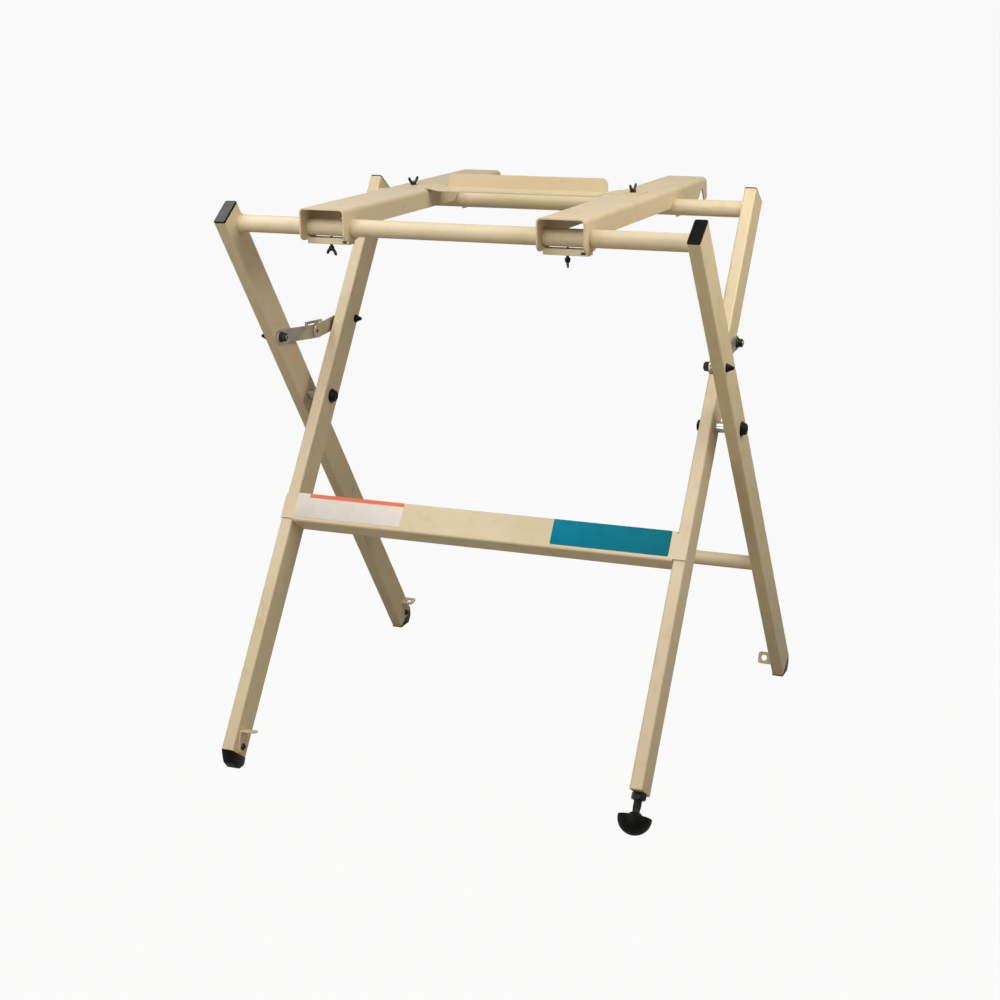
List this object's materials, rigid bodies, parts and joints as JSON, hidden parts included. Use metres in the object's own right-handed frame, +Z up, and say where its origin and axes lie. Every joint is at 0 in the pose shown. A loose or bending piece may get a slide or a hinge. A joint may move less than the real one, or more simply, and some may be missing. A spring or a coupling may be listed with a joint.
{
  "type": "thickness planer stand",
  "caption": "Folding X-leg stand of rectangular steel tube, with two inverted-channel rails on its top tubes, lock stays and one levelling foot.",
  "frame": {"origin": "on the floor plane, half way between the two sides and straight below the pivot axis", "axes": "+X across the front to the side with the levelling foot, +Y to the rear, +Z up"},
  "size_m": [0.635, 0.6257, 0.717],
  "materials": {
    "frame_paint": "semi-gloss beige enamel with a faint hammered texture",
    "black_plastic": "black moulded plastic",
    "black_rubber": "black rubber",
    "black_steel": "black oxide steel",
    "zinc": "zinc plated steel",
    "yellow_zinc": "zinc plated steel with a yellow passivation",
    "label_pale": "blank off-white label with an orange band",
    "label_teal": "blank teal label"
  },
  "bodies": {
    "outer_frame": {"outer_leg_left": "frame_paint", "outer_leg_right": "frame_paint", "front_tube": "frame_paint", "rear_bar": "frame_paint", "outer_leg_caps": "black_plastic", "rear_foot_left": "black_plastic", "rear_foot_right": "black_plastic", "pivot_bolts": "zinc", "pivot_spacers": "zinc", "pivot_caps_outer": "black_plastic", "pivot_caps_inner": "black_plastic", "outer_stay_bolts": "zinc", "outer_stay_cones": "black_plastic", "outer_stay_washers": "zinc", "outer_stay_nuts": "black_steel", "rear_brackets": "frame_paint", "rear_bracket_screws": "black_steel"},
    "inner_frame": {"inner_leg_left": "frame_paint", "inner_leg_right": "frame_paint", "rear_tube": "frame_paint", "front_crossmember": "frame_paint", "inner_leg_caps": "black_plastic", "front_foot_left": "black_plastic", "front_bracket": "frame_paint", "front_bracket_screw": "black_steel", "inner_stay_bolts": "zinc", "inner_stay_cones": "black_plastic", "inner_stay_washers": "zinc", "inner_stay_nuts": "black_steel", "label_left": "label_pale", "label_right": "label_teal", "leveler_insert": "frame_paint"},
    "top_rack": {"rail_left": "frame_paint", "rail_right": "frame_paint", "clamp_strap_left": "frame_paint", "clamp_strap_right": "frame_paint", "cross_plate": "frame_paint", "plate_studs": "zinc"},
    "outer_stay_left": {"outer_link_left": "yellow_zinc", "stay_rivet_left": "black_steel"},
    "outer_stay_right": {"outer_link_right": "yellow_zinc", "stay_rivet_right": "black_steel"},
    "inner_stay_left": {"inner_link_left": "yellow_zinc"},
    "inner_stay_right": {"inner_link_right": "yellow_zinc"},
    "clamp_screw_left": {"clamp_bolt_left": "black_steel"},
    "clamp_screw_right": {"clamp_bolt_right": "black_steel"},
    "plate_nut_left": {"wing_nut_left": "black_steel"},
    "plate_nut_right": {"wing_nut_right": "black_steel"},
    "leveling_foot": {"leveler_stud": "black_steel", "leveler_pad": "black_rubber"},
    "leveling_nut": {"leveler_lock_nut": "black_steel"}
  },
  "joints": [
    {"name": "fold", "type": "hinge", "parent": "outer_frame", "child": "inner_frame", "pos_m": [0, 0, 0.426], "axis": [1, 0, 0], "range_deg": [0, 56]},
    {"name": "rack_swing", "type": "hinge", "parent": "outer_frame", "child": "top_rack", "pos_m": [0, -0.16573, 0.67624], "axis": [1, 0, 0], "range_deg": [0, 56]},
    {"name": "outer_stay_left_swing", "type": "hinge", "parent": "outer_frame", "child": "outer_stay_left", "pos_m": [-0.2894, -0.07931, 0.51811], "axis": [1, 0, 0], "range_deg": [0, 101.99]},
    {"name": "inner_stay_left_swing", "type": "hinge", "parent": "inner_frame", "child": "inner_stay_left", "pos_m": [-0.2776, 0.07931, 0.51811], "axis": [1, 0, 0], "range_deg": [-101.99, 0]},
    {"name": "outer_stay_right_swing", "type": "hinge", "parent": "outer_frame", "child": "outer_stay_right", "pos_m": [0.2894, -0.07931, 0.51811], "axis": [1, 0, 0], "range_deg": [0, 101.99]},
    {"name": "inner_stay_right_swing", "type": "hinge", "parent": "inner_frame", "child": "inner_stay_right", "pos_m": [0.2776, 0.07931, 0.51811], "axis": [1, 0, 0], "range_deg": [-101.99, 0]},
    {"name": "clamp_screw_left_turn", "type": "hinge", "parent": "top_rack", "child": "clamp_screw_left", "pos_m": [-0.167, -0.16573, 0.65], "axis": [0, 0, -1], "continuous": true},
    {"name": "plate_nut_left_turn", "type": "hinge", "parent": "top_rack", "child": "plate_nut_left", "pos_m": [-0.167, 0.078, 0.71], "axis": [0, 0, 1], "continuous": true},
    {"name": "clamp_screw_right_turn", "type": "hinge", "parent": "top_rack", "child": "clamp_screw_right", "pos_m": [0.1385, -0.16573, 0.65], "axis": [0, 0, -1], "continuous": true},
    {"name": "plate_nut_right_turn", "type": "hinge", "parent": "top_rack", "child": "plate_nut_right", "pos_m": [0.1385, 0.078, 0.71], "axis": [0, 0, 1], "continuous": true},
    {"name": "leveling_foot_travel", "type": "slide", "parent": "inner_frame", "child": "leveling_foot", "axis": [0, -0.5779, -0.8161], "range_m": [0, 0.014]},
    {"name": "leveling_nut_turn", "type": "hinge", "parent": "leveling_foot", "child": "leveling_nut", "pos_m": [0.267, -0.27246, 0.04119], "axis": [0, -0.5779, -0.8161], "continuous": true}
  ],
  "couplings": [
    {"joint": "rack_swing", "follows": "fold", "ratio": 1},
    {"joint": "outer_stay_left_swing", "follows": "fold", "ratio": 1.8213},
    {"joint": "inner_stay_left_swing", "follows": "fold", "ratio": -1.8213},
    {"joint": "outer_stay_right_swing", "follows": "fold", "ratio": 1.8213},
    {"joint": "inner_stay_right_swing", "follows": "fold", "ratio": -1.8213}
  ]
}
